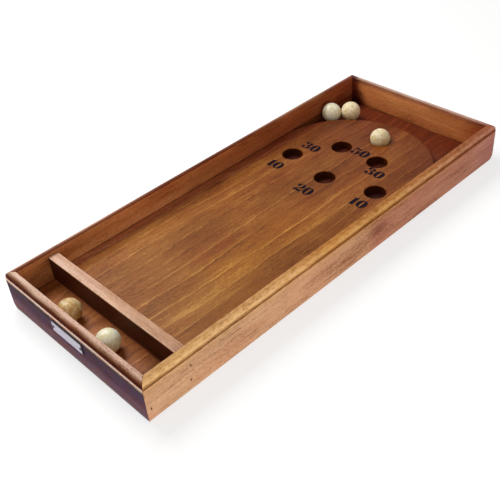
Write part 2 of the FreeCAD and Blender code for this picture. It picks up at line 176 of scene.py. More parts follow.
def beech_group():
    """Stained beech: growth rings that wander along the board with a jagged pale line each, broad patches,
    streaks, fibres and short ray flecks. Its Vector is in millimetres, with the grain along Y."""
    inputs = {
        "Vector": "Vector", "Seed": 1.0, "Ring Width": 22.0, "Wander": 9.0, "Ring Depth": 0.3,
        "Patch Depth": 0.8, "Streak Depth": 0.6, "Fibre Depth": 0.4, "Fleck Depth": 0.3, "Redness": 0.5,
        "Dark": "Color", "Body": "Color", "Pale": "Color",
    }
    outputs = {"Color": "Color", "Tone": "Float", "Height": "Float"}
    tree, given, out = new_tree("beech", inputs, outputs)
    seed = given["Seed"]
    spot = shifted(tree, given["Vector"], seed * 31.7, seed * 157.1, 0.0)
    across, along, through = parts(tree, spot)

    def pattern(source, x, y, detail=2.0, rough=0.5):
        return noise(tree, source, detail, rough, (x, y, x))

    jagged = span(tree, pattern(spot, 0.02, 0.008), 0.42, 0.58, 0.12, 0.62)
    bend = (pattern(spot, 0.05, 0.014, 3.0) - 0.5) * 0.5 + (pattern(spot, 0.012, 0.0034) * 2.6 - 1.3)
    bend = (pattern(spot, 0.14, 0.085, 3.0, 0.6) - 0.5) * jagged + bend
    place = bend * given["Wander"] + (through * 0.4 + across)
    flow = xyz(tree, place, along, through)
    spacing = noise(tree, xyz(tree, place, seed, 0.0), 1.0, scale=(0.024, 7.3, 0.0))
    ring = spacing * 1.1 + place / given["Ring Width"]
    year = calc(tree, "FLOOR", ring) + seed
    year_tone = first(tree, "TexWhiteNoise", {"W": year}, noise_dimensions="1D")
    ramp = put(tree, "ValToRGB", {0: calc(tree, "FRACT", ring)})
    stops = ramp.color_ramp.elements
    for at, level in ((0.03, 1.0), (0.05, 0.3), (0.1, 0.22), (0.4, 0.42), (0.8, 0.58), (0.97, 0.68)):
        stops.new(at).color = (level, level, level, 1)
    stops[0].color = stops[-1].color = (1.36, 1.36, 1.36, 1)
    fade = span(tree, pattern(spot, 0.03, 0.012), 0.35, 0.6, 0.45, 1.1)
    patch = pattern(flow, 0.026, 0.0075)
    streak = pattern(flow, 0.17, 0.011, 3.0, 0.55)
    fibre = pattern(flow, 0.6, 0.03, 5.0, 0.7)
    pore = pattern(spot, 1.1, 0.24, 3.0, 0.7)
    flecks = first(tree, "VectorMath", {0: spot, 1: (0.95, 0.2, 0.95)}, operation="MULTIPLY")
    fleck = span(tree, first(tree, "TexVoronoi", {"Vector": flecks, "Scale": 1.0}), 0.1, 0.3, 1.0, 0.0)
    line = (Wire(tree, ramp.outputs[0]) - 0.5) * fade * (year_tone + 0.4)
    tone = line * given["Ring Depth"] + 0.5
    layers = (
        (year_tone, "Ring Depth", 0.4),
        (patch, "Patch Depth", 1.0),
        (streak, "Streak Depth", 1.0),
        (fibre, "Fibre Depth", 1.0),
        (pore, "Fibre Depth", 1.0),
    )
    for layer, depth, share in layers:
        tone = (layer - 0.5) * share * given[depth] + tone
    tone = tone - fleck * given["Fleck Depth"]
    colour = mixed(tree, span(tree, tone, 0.0, 0.5), given["Dark"], given["Body"])
    colour = mixed(tree, span(tree, tone, 0.5, 1.0), colour, given["Pale"])
    red = span(tree, pattern(flow, 0.02, 0.006), 0.38, 0.62) * given["Redness"]
    colour = mixed(tree, red, colour, (1.0, 0.82, 0.8, 1.0), "MULTIPLY")
    feed(tree, out, {"Color": colour, "Tone": tone, "Height": fleck * -0.5 + (fibre + pore)})
    return tree


def wear_group():
    """Patches over the lacquer: wear rubbed through to paler wood, and also painted highlights and painted
    reflections.
    """
    inputs = {"Color": "Color", "Mask": "Float", "Vector": "Vector", "Worn": "Color", "Amount": 0.5}
    tree, given, out = new_tree("patchy_wear_and_sheen", inputs, {"Color": "Color"})
    patches = noise(tree, given["Vector"], 4.0, 0.7, (0.3, 0.11, 0.3))
    reach = given["Mask"] * span(tree, patches, 0.36, 0.6, 0.12, 1.0)
    mask = calc(tree, "MULTIPLY", reach, given["Amount"], clamp=True)
    feed(tree, out, {"Color": mixed(tree, mask, given["Color"], given["Worn"])})
    return tree


def wash_group():
    """A wash that multiplies the colour, uneven where it fades out: stain, and also painted shade and painted light.
    """
    inputs = {"Color": "Color", "Mask": "Float", "Vector": "Vector", "Wash": "Color"}
    tree, given, out = new_tree("stain_and_shade_wash", inputs, {"Color": "Color"})
    mask = given["Mask"]
    uneven = noise(tree, given["Vector"], 4.0, 0.65, (0.06, 0.02, 0.06)) * 1.6 - 0.8
    mask = calc(tree, "MULTIPLY_ADD", mask * (1.0 - mask) * uneven, 4.0, mask, clamp=True)
    feed(tree, out, {"Color": mixed(tree, mask, given["Color"], given["Wash"], "MULTIPLY")})
    return tree


beech = beech_group()
patchy_wear_and_sheen = wear_group()
stain_and_shade_wash = wash_group()


def new_material(name, **constants):
    """A material with its shader, and the constants set on the shader itself."""
    material = bpy.data.materials.new(name)
    material.use_nodes = True
    shader = material.node_tree.nodes["Principled BSDF"]
    feed(material.node_tree, shader, {label.replace("_", " "): value for label, value in constants.items()})
    return material, material.node_tree, shader


def grain_place(tree, turned, offset=(0.0, 0.0, 0.0)):
    """Object coordinates in millimetres, turned so that the grain runs along Y."""
    inputs = {"Vector": put(tree, "TexCoord").outputs["Object"], "Location": offset, "Scale": (1 / MM,) * 3}
    return first(tree, "Mapping", {**inputs, "Rotation": (0, 0, math.radians(turned))})


def dress(tree, shader, colour, rough, height, depth, strength=0.5, **more):
    """Feeds a shader its colour, its roughness, a relief of some depth, and more inputs by name."""
    relief = first(tree, "Bump", {"Height": height, "Strength": strength, "Distance": depth})
    feed(tree, shader, {"Base Color": colour, "Roughness": rough, "Normal": relief, **more})


def where_mask(tree, place, where):
    """1 where all that is said holds: marks of the piece, and axes with the two ends, in millimetres, of a rise."""
    mask = 1.0
    for item in where.split(", "):
        name, *ends = item.split()
        if ends:
            level = span(tree, parts(tree, place)["XYZ".index(name)], *map(float, ends))
        else:
            level = put(tree, "Attribute", attribute_name=name).outputs["Fac"]
        mask = calc(tree, "MULTIPLY", level, mask)
    return mask


def stained_beech(name, seed, colours, turned=0, figure=None, rough=0.42, coats=(), **constants):
    """A stained and lacquered beech finish. Its coats, in order, are washes (where, share) that multiply the colour,
    for stain and for painted shade and light, and patches (where, colour, amount) that cover it, for wear and for
    painted highlights and reflections."""
    constants = {"Coat_Weight": 0.03, "Coat_Roughness": 0.25, "Specular_IOR_Level": 0.14, **constants}
    material, tree, shader = new_material(name, **constants)
    place = grain_place(tree, turned)
    stains = {label: tint(*value) for label, value in zip(("Dark", "Body", "Pale"), colours)}
    wood = put(tree, "Group", {"Vector": place, "Seed": seed, **stains, **(figure or {})}, node_tree=beech).outputs
    colour = wood["Color"]
    for where, coat, *amount in coats:
        inputs = {"Color": colour, "Mask": where_mask(tree, place, where), "Vector": place}
        if amount:
            inputs = {**inputs, "Worn": tint(*coat), "Amount": amount[0]}
            colour = first(tree, "Group", inputs, node_tree=patchy_wear_and_sheen)
        else:
            colour = first(tree, "Group", {**inputs, "Wash": (*coat, 1.0)}, node_tree=stain_and_shade_wash)
    gloss = span(tree, wood["Tone"], 0.2, 0.9, rough + 0.06, rough - 0.05)
    dress(tree, shader, colour, gloss, wood["Height"], 0.12 * MM)
    return material


quirk_depth = 0.35 * MM


def point(x, y, part, **marks):
    """One point of a section: X outward, Y up, the part it is on, and how much of each mark it bears."""
    return x, y, {part: 1.0, **marks}


def rail_section():
    """The moulding seen from its end. Its marks are arris, where hands and cloths rub; the crease mark, painted
    shade at the foot of the bead, in the quirk and at the foot of the inside face; crest, the flat top inside the
    bead;
    rim, its inner arris; nose, where the bead turns; flank, its fall to the quirk; quirk, the strip of the ledge
    beside that; and seam, where a joint shows inside."""
    width, ease = rail_thickness, arris_radius
    reach = width - ledge_width
    ledge = rail_height - ledge_drop
    middle = reach - bead_radius, rail_height - bead_radius

    def corner(x, y, radius, start, part, steps, **marks):
        turns = [math.radians(start + 90 * i / steps) for i in range(steps + 1)]
        return [point(x + radius * math.cos(a), y + radius * math.sin(a), part, **marks) for a in turns]

    def climb(x, low, high, part, steps=8):
        return [point(x, low + (high - low) * k / steps, part) for k in range(1, steps)]

    points = [point(0, 0, "foot"), point(width / 2, 0, "foot")]
    points += corner(width - foot_radius, foot_radius, foot_radius, -90, "face", 8, arris=0.25)
    points += climb(width, foot_radius, ledge - 3.2 * MM, "face")
    points += [
        point(width, ledge - 3.8 * MM, "face", arris=0.1),
        point(width, ledge - 2.9 * MM, "face", arris=0.7),
        point(width, ledge - 2.1 * MM, "ledge", arris=1.0),
        *corner(width - ease, ledge - ease, ease, 0, "ledge", 4, arris=0.8),
        point(reach + 1.25 * MM, ledge, "ledge", arris=0.35, quirk=0.5),
        point(reach + 0.8 * MM, ledge, "ledge", quirk=1.0),
        point(reach + 0.35 * MM, ledge - 0.15 * MM, "ledge", quirk=1.0, grime=0.15),
        point(reach + 0.25 * MM, ledge - quirk_depth, "ledge", quirk=1.0, grime=0.25),
        point(reach + 0.05 * MM, ledge - quirk_depth, "bead", grime=0.35, flank=1),
        point(reach, ledge + 0.2 * MM, "bead", grime=0.6, flank=1),
        point(reach, ledge + 1.1 * MM, "bead", grime=1.0, flank=1),
    ]
    for k in range(13):
        lean = 90 - 7.5 * k
        marks = {
            "flank": 1 - (1 - min(lean, 75) / 75) ** 1.5, "grime": max(0.0, (lean - 68) / 32),
            "crest": max(0.0, 0.35 - lean / 80), "nose": max(0.0, 1 - abs(lean - 55) / 35),
        }
        points += corner(*middle, bead_radius, 90 - lean, "bead", 1, **marks)[:1]
    points += [
        point(middle[0] - 1.4 * MM, rail_height, "bead", crest=0.7),
        point(ease * 2.4, rail_height, "bead", crest=1),
        *corner(ease, rail_height - ease, ease, 90, "bead", 4, arris=0.4, crest=1, rim=1),
        point(0, rail_height - ease * 3, "inside", arris=0.2, rim=0.4),
        *climb(0, rail_height - 2 * MM, floor_level + 14 * MM, "inside", 6),
    ]
    for height, seam, grime in ((13, 0, 0), (12, 0.7, 0), (10, 0.15, 0), (2.5, 0, 0.2), (0, 0, 0.9)):
        points.append(point(0, floor_level + height * MM, "inside", seam=seam, grime=grime))
    groove_foot = floor_level - panel_thickness
    groove = (groove_depth, floor_level), (groove_depth, groove_foot), (0, groove_foot)
    return points + [point(x, y, "foot") for x, y in groove]


def marked_mesh(name, points, edges, marks):
    """A mesh of points and edges only, with how much of each mark every point bears."""
    mesh = bpy.data.meshes.new(name)
    mesh.from_pydata(points, edges, [])
    for mark, levels in marks.items():
        mesh.attributes.new(mark, "FLOAT", "POINT").data.foreach_set("value", [float(v) for v in levels])
    return mesh


def section_mesh(name, points):
    """A closed outline with its marks, drawn upside down because a swept outline's Y points down."""
    points = points[::-1]
    edges = [(i, (i + 1) % len(points)) for i in range(len(points))]
    names = sorted({mark for _, _, marks in points for mark in marks})
    marks = {mark: [marks.get(mark, 0) for _, _, marks in points] for mark in names}
    return marked_mesh(name, [(x, -y, 0) for x, y, _ in points], edges, marks)


def knocked(tree, geometry, depth):
    """A surface pushed along its normals."""
    inputs = {0: first(tree, "InputNormal"), "Scale": depth}
    offset = first(tree, "VectorMath", inputs, operation="SCALE")
    return first(tree, "SetPosition", {"Geometry": geometry, "Offset": offset})


def hand_over(tree, given, out, piece):
    """The last steps of a piece: its instances made real and its finish set."""
    piece = first(tree, "RealizeInstances", {"Geometry": piece})
    feed(tree, out, {"Piece": first(tree, "SetMaterial", {"Geometry": piece, "Material": given["Finish"]})})
    return tree


end_crowding = 0.7
plan_share = 0.35
knocks_a_metre, rubs_a_metre = 240.0, 28.0


def moulding_tree():
    """A length of moulding: its section swept along Y, cut to the mitre, hand-finished and put in place. Corner is
    the radius that its foot is worn to at one end, with the sign of that end; plan_share of it rounds the plan."""
    inputs = {
        "Section": "Geometry", "Half Run": 0.3, "Mitre": 1.0, "Stations": 400, "Wear": 0.0003, "Seed": 0.0,
        "Turn": 0.0, "Place": "Vector", "Corner": 0.0, "Corner Reach": 0.0, "Finish": "Material",
    }
    tree, given, out = new_tree("moulding", inputs)
    half_run, corner_reach = given["Half Run"], given["Corner Reach"]
    section = first(tree, "MeshToCurve", {"Mesh": given["Section"]})
    run = first(tree, "CurvePrimitiveLine", {"Start": (0, -1, 0), "End": (0, 1, 0)})
    run = first(tree, "ResampleCurve", {"Curve": run, "Count": given["Stations"]})
    bar = first(tree, "CurveToMesh", {"Curve": run, "Profile Curve": section, "Fill Caps": True})
    spot = first(tree, "InputPosition")
    x, y, z = parts(tree, spot)
    end = calc(tree, "GREATER_THAN", calc(tree, "ABSOLUTE", y), 0.9999)
    inputs = {"Geometry": bar, "Name": "mitre", "Value": end}
    bar = first(tree, "StoreNamedAttribute", inputs, data_type="FLOAT", domain="POINT")

    crowd = calc(tree, "SINE", y * (math.pi / 2)) * end_crowding + y * (1 - end_crowding)
    along = crowd * (x * given["Mitre"] + half_run)
    end_sign = calc(tree, "SIGN", given["Corner"])
    corner = calc(tree, "ABSOLUTE", given["Corner"])
    inset = corner_reach - along * end_sign
    ease = corner * plan_share
    outer = corner_reach - half_run
    out_by = (x - (outer - ease)).at_least(0.0)
    end_by = (ease - inset).at_least(0.0)
    distance = calc(tree, "SQRT", out_by * out_by + end_by * end_by)
    excess = (1.0 - ease / distance.at_least(ease.at_least(1e-6))) * calc(tree, "GREATER_THAN", corner, 0.0)
    x = x - out_by * excess
    end_by = end_by * excess
    along = along - end_by * end_sign
    inset = inset + end_by + (outer - x)
    drop = (corner - (ease * (math.sqrt(2) - 2) + inset)).at_least(0.0).at_most(corner)
    level = corner - calc(tree, "SQRT", (corner * corner - drop * drop).at_least(0.0))
    bar = first(tree, "SetPosition", {"Geometry": bar, "Position": xyz(tree, x, along, z.at_least(level))})

    arris = first(tree, "InputNamedAttribute", {"Name": "arris"}, data_type="FLOAT")
    spot = shifted(tree, spot, given["Seed"], given["Seed"], 0.0)
    knocks = span(tree, noise(tree, spot, 3.0, 0.7, knocks_a_metre), 0.58, 0.72)
    worn = (knocks * 1.2 + noise(tree, spot, 1.0, 0.5, rubs_a_metre)) * arris
    bar = knocked(tree, bar, worn * (given["Wear"] * -1.0))
    inputs = {"Geometry": bar, "Translation": given["Place"], "Rotation": xyz(tree, 0.0, 0.0, given["Turn"])}
    return hand_over(tree, given, out, first(tree, "Transform", inputs))


def added(name, data):
    """A new object in the scene."""
    thing = bpy.data.objects.new(name, data)
    bpy.context.scene.collection.objects.link(thing)
    return thing


def evaluated(thing):
    """What an object comes to, as a mesh of its own."""
    return bpy.data.meshes.new_from_object(thing.evaluated_get(bpy.context.evaluated_depsgraph_get()))


sharp_angle = 35
drill_sides = 24


def settle(piece, sharp=sharp_angle):
    """Keeps what a piece's modifiers make of it as its plain mesh, smooth but for edges above an angle."""
    mesh = evaluated(piece)
    piece.modifiers.clear()
    piece.data = mesh
    mesh.shade_smooth()
    mesh.set_sharp_from_angle(angle=math.radians(sharp))
    return mesh


def build(name, start, tree, sharp=sharp_angle, **sizes):
    """Runs a tree on a start mesh and keeps what it makes as a plain mesh."""
    piece = added(name, start)
    modifier = piece.modifiers.new("build", "NODES")
    modifier.node_group = tree
    sockets = {s.name: s.identifier for s in tree.interface.items_tree if s.in_out == "INPUT"}
    for label, value in sizes.items():
        modifier[sockets[label.replace("_", " ")]] = [float(v) for v in value] if isinstance(value, tuple) else value
    mesh = settle(piece, sharp)
    mesh.name = name
    mesh.materials.clear()
    mesh.materials.append(sizes["Finish"])
    mesh.polygons.foreach_set("material_index", [0] * len(mesh.polygons))
    return piece


def bore(piece, holes):
    """Drills round holes: each is where it starts, the way it is driven, its depth and its radius. The walls of
    those in a rail take the face's coats and the crease mark's painted shade."""
    drills = bmesh.new()
    for start, way, depth, radius in holes:
        turn = Vector(way).to_track_quat("Z", "Y").to_matrix().to_4x4()
        place = Matrix.Translation(Vector(start) + Vector(way) * (depth - MM) / 2) @ turn
        sizes = {"radius1": radius, "radius2": radius, "depth": depth + MM}
        bmesh.ops.create_cone(drills, cap_ends=True, segments=drill_sides, matrix=place, **sizes)
    cutter = added("drills", bpy.data.meshes.new("drills"))
    drills.to_mesh(cutter.data)
    drills.free()
    cut = piece.modifiers.new("bores", "BOOLEAN")
    cut.object = cutter
    cut.operation = "DIFFERENCE"
    mesh = settle(piece)
    bpy.data.objects.remove(cutter)
    if "face" in mesh.attributes:
        face, grime = mesh.attributes["face"].data, mesh.attributes["grime"].data
        others = [mesh.attributes[part].data for part in ("bead", "inside", "foot", "ledge")]
        for vertex in range(len(mesh.vertices)):
            if not any(part[vertex].value for part in (face, *others)):
                face[vertex].value = grime[vertex].value = 1.0


half_width = inner_width / 2
case_side = half_width + rail_thickness
brad_clearance = 0.05 * MM
brad_sink = 0.3 * MM
brad_head = (1 * MM, 1 * MM)
brad_shank = 0.7 * MM
brad_length = 30 * MM
brad_rows = {
    "crossbar_brads": [(-267.45 * MM, 37 * MM), (-269.85 * MM, 16.5 * MM)],
    "corner_brads": [(near_face - 6 * MM, 18 * MM), (far_face + 6 * MM, 18 * MM)],
}
pin_spots = [(x * MM, near_face - rail_thickness, 35.1 * MM) for x in (-30.5, 23.5)]


def brad_bores(sides, *rows):
    """The holes of the brads driven in from each side: the sunk head's recess and the shank's below it."""
    bores = []
    recess = brad_sink + brad_head[1] + brad_clearance
    rest = brad_sink + brad_length + brad_clearance - recess
    for side in sides:
        way = (-side, 0, 0)
        for y, z in (spot for row in rows for spot in brad_rows[row]):
            bores.append(((side * case_side, y, z), way, recess, brad_head[0] + brad_clearance))
            bores.append(((side * (case_side - recess), y, z), way, rest, brad_shank + brad_clearance))
    return bores


rail_colours = ((124, 80, 55), (188, 146, 111), (218, 182, 148))
rail_figure = {
    "Ring Width": 17.0, "Wander": 7.0, "Ring Depth": 0.2, "Patch Depth": 1.0, "Streak Depth": 0.6,
    "Fibre Depth": 1.05, "Fleck Depth": 0.42,
}
mitre_wash = ("mitre", (0.06, 0.035, 0.03))
rim_wash = ("rim", (0.6, 0.5, 0.42))
# Painted shade in the creases of the moulding.
dark_crease_shade = ("grime", (0.16, 0.06, 0.03))
side_coats = [("face, Y 26 56", (0.82, 0.65, 0.68)), ("Y 215 330", (0.94, 0.84, 1.06)), mitre_wash]
right_rail_coats = [
    ("bead", (0.74, 0.62, 0.3)),
    ("bead", (220, 170, 114), 0.44),
    ("crest", (1.22, 1.28, 1.36)),
    rim_wash,
    # The bead's fall to the quirk is lightened: painted light from the right.
    ("flank", (1.35, 1.55, 1.9)),
    ("ledge", (0.84, 0.72, 0.5)),
    ("quirk", (0.68, 0.62, 0.42)),
    ("inside", (0.8, 0.52, 0.3)),
    ("arris", (208, 162, 120), 0.75),
    ("nose", (218, 178, 128), 0.55),
    # Painted shade in the creases.
    ("grime", (0.44, 0.35, 0.26)),
    ("bead, Y -160 -20", (0.76, 0.6, 0.38)),
    ("nose, Y -160 -20", (1.1, 1.25, 1.45)),
    ("bead, Y 60 240", (0.82, 0.68, 0.95)),
    ("nose, Y 60 240", (1.12, 1.2, 1.4)),
    ("ledge, Y -160 -20", (0.74, 0.6, 0.46)),
    ("ledge, Y 60 240", (0.84, 0.66, 0.74)),
    ("face, Y -140 20", (0.94, 0.88, 0.86)),
    ("face, Z 36 43", (0.92, 0.92, 0.84)),
    ("face, Y -300 -332, Z 26 8", (1.08, 0.94, 1.0)),
    *side_coats,
]
left_rail_coats = [
    ("bead", (0.44, 0.31, 0.25)),
    ("bead, Y -130 -60, Y 120 60", (0.82, 0.7, 0.66)),
    # A painted sheen on the bead towards the far end.
    ("bead, Y 60 130", (1.35, 1.65, 2.1)),
    ("crest", (0.52, 0.27, 0.15)),
    ("inside", (0.74, 0.45, 0.25)),
    ("inside, Y -100 220", (0.66, 0.48, 0.44)),
    # A painted sheen on the outer edge of the bead towards the near end.
    ("bead, X -128 -130, Y -110 -190", (2.2, 2.9, 4.2)),
    # Lighter towards the foot of the inside face: painted light against its shade.
    ("inside, Z 46 28", (1.35, 1.5, 1.6)),
    ("inside, Z 42 28, Y -20 -70", (1.3, 1.45, 1.6)),
    ("seam, Y -264 -258", (0.16, 0.06, 0.03)),
    dark_crease_shade,
    *side_coats,
]
far_end_board_coats = [
    ("inside", (1.32, 0.86, 0.48)),
    ("inside, Z 46 55", (0.58, 0.55, 0.76)),
    ("bead", (1.13, 1.2, 1.52)),
    ("crest", (0.7, 0.72, 0.8)),
    ("rim", (0.6, 0.42, 0.34)),
    ("arris", (210, 172, 150), 0.25),
    # A painted shadow of the left rail: a dark wedge in the far-left corner, on the inside face and the bead.
    ("inside, Y -94 -119", (0.2, 0.09, 0.1)),
    ("bead, Y -110 -122", (0.2, 0.09, 0.1)),
    ("inside, Y -88 -112, Z 42 14", (0.5, 0.36, 0.38)),
    # Painted shade in the far-right corner, on the inside face and the bead.
    ("inside, Y 80 124", (0.72, 0.5, 0.48)),
    ("bead, Y 80 124", (0.72, 0.5, 0.48)),
    dark_crease_shade,
    mitre_wash,
]
near_end_board_coats = [
    ("inside", (0.86, 0.56, 0.32)),
    # A painted sheen on the bead.
    ("bead", (1.34, 1.62, 2.2)),
    ("rim", (0.4, 0.28, 0.22)),
    # The bead's fall to the quirk, facing out of the light, is darkened: painted shade.
    ("flank", (0.2, 0.04, 0.01)),
    ("nose", (0.85, 0.72, 0.4)),
    # The ledge is lightened to a pale line: a painted highlight.
    ("ledge", (2.3, 2.2, 2.6)),
    # The outer face's dark plum colour and blue patches are painted shade and painted reflection; the darker band
    # under the ledge is a painted shadow; the face is also darker in its upper part and lighter towards the foot.
    ("face", (0.45, 0.22, 0.41)),
    ("face", (92, 90, 160), 0.34),
    ("face, Y 80 120, Z 28 40", (66, 76, 150), 0.2),
    ("face, Z 40.5 43.5", (0.62, 0.3, 0.18)),
    ("face, Z 20 34", (0.68, 0.78, 0.78)),
    ("face, Z 26 11", (1.6, 2.1, 1.45)),
    ("face, Z 37 42, Y -25 -45", (0.6, 0.5, 0.5)),
    # The ledge beside the quirk is paler still: a painted highlight.
    ("quirk", (250, 222, 208), 0.95),
    # Painted shade in the creases.
    ("grime", (0.5, 0.3, 0.25)),
    # Pale arrises: wear, and a painted glint with it.
    ("arris", (255, 232, 218), 1.15),
    mitre_wash,
]
moulding = moulding_tree()
worn_corner = 13 * MM
pin_bore = (9.05 * MM, 0.75 * MM)
right_bores, left_bores = (brad_bores([side], "crossbar_brads", "corner_brads") for side in (1, -1))
end_bores = brad_bores([1, -1], "corner_brads")
pin_bores = [(spot, (0, 1, 0), *pin_bore) for spot in pin_spots]
long_run, short_run = (inner_length / 2, 440), (half_width, 190)
rails = {
    "right_rail": (right_rail_coats, *long_run, (half_width, case_middle), 0, 0.11, 1, 0.07, right_bores),
    "left_rail": (left_rail_coats, *long_run, (-half_width, case_middle), 180, 0.73, 1, 0.03, left_bores),
    "far_end_board": (far_end_board_coats, *short_run, (0, far_face), 90, 0.47, -1, 0.08, end_bores),
    "near_end_board": (near_end_board_coats, *short_run, (0, near_face), 270, 0.29, -1, 0.02, end_bores + pin_bores),
}
for number, (node, looks) in enumerate(rails.items(), 1):
    coats, half_run, stations, place, turn, seed, worn_end, sheen, bores = looks
    finish = stained_beech(
        node + "_beech", float(number), rail_colours, turn % 180, rail_figure, coats=coats,
        Specular_IOR_Level=sheen, Coat_Weight=sheen / 3,
    )
    rail = build(
        node + "_moulding", section_mesh(node + "_section", rail_section()), moulding, Half_Run=half_run,
        Stations=stations, Seed=seed, Turn=math.radians(turn), Place=(*place, 0),
        Corner=worn_end * worn_corner, Corner_Reach=half_run + rail_thickness, Finish=finish,
    )
    bore(rail, bores)
    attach(rail, "case")
    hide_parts(node)


# --- Base panel ---
# A thin beech-faced panel in the grooves of the rails. It is the floor of the return tray and of the gutter
# round the head of the playfield. Past the crossbar it is darkened, most of all in the cup floors: painted shade.

panel_finish = stained_beech(
    "base_panel_beech", 7.0, ((72, 34, 15), (128, 70, 32), (172, 108, 56)),
    figure={"Ring Width": 31.0, "Wander": 12.0, "Ring Depth": 0.25, "Streak Depth": 0.9, "Fibre Depth": 0.9},
    rough=0.5,
    coats=[
        ("Y -258 -272", (1.6, 1.85, 1.75)),
        # Darker past the crossbar and in the cup floors: painted shade.
        ("Y -240 -200", (0.58, 0.34, 0.34)),
        ("Y 90 98, Y 212 206, X -112 -104, X 112 104", (0.36, 0.3, 0.3)),
        ("Y 180 220, X 70 112", (0.5, 0.36, 0.42)),
        # The middle cup floor is lighter, a painted light, and the right-hand cup floor darker, a painted shade.
        ("Y 90 98, Y 130 124, X -24 -18, X 24 18", (1.25, 1.15, 0.7)),
        ("Y 100 106, Y 150 146, X 54 60", (0.66, 0.52, 0.6)),
    ],
)


def refinish(node, material):
    """Gives a carried-over piece its finish."""
    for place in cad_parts[node].material_slots:
        place.link = "OBJECT"
        place.material = material


refinish("base_panel", panel_finish)


# --- Playfield board ---
# One broad beech board with a half-round head, drilled for the cups and stained golden brown. Its growth
# rings show as long wandering lines, and the stain is redder towards the head.

grain_slant = 1.0
playfield_figure = {
    "Ring Width": 22.0, "Wander": 12.0, "Ring Depth": 0.46, "Patch Depth": 0.95, "Streak Depth": 0.45,
    "Fibre Depth": 1.1,
}
playfield_finish = stained_beech(
    "playfield_beech", 5.0, ((92, 46, 13), (146, 90, 35), (190, 138, 69)), grain_slant, playfield_figure,
    rough=0.4, Specular_IOR_Level=0.1, Coat_Weight=0.015,
    coats=[
        ("Y -200 270", (0.6, 0.405, 0.27)),
        ("Y 190 260", (0.86, 0.74, 0.84)),
        ("X -60 -30, X 32 0, Y -180 -130, Y -20 -90", (0.78, 0.64, 0.6)),
        ("X -5 25, X 80 55, Y -180 -120, Y 70 -20", (1.16, 1.18, 1.0)),
        ("X 62 112, Y -280 -130", (0.8, 0.7, 0.64)),
        # Along the left rail the rail's shadow is reshaped: lighter near the rail, a painted light, with a dark step
        # at its edge, a painted shadow edge.
        ("X -98 -104", (1.25, 1.3, 1.7)),
        ("X -106.5 -109", (0.6, 0.45, 0.48)),
        ("X -104 -119", (2.2, 2.6, 4.2)),
        ("X -82 -94, Y 60 130", (0.74, 0.68, 0.78)),
        # Darker below the top face: painted shade in the cup walls, and the board's edges darken with it.
        ("Z 24.6 23.4", (0.36, 0.27, 0.25)),
    ],
)
refinish("playfield_board", playfield_finish)


# --- Printed numbers ---
# The score of each cup, stencilled on the playfield in dark ink: fat figures with hairline joins and a slit
# through the nought. Each outline is drawn in millimetres, 18 high, from the foot of the figure.

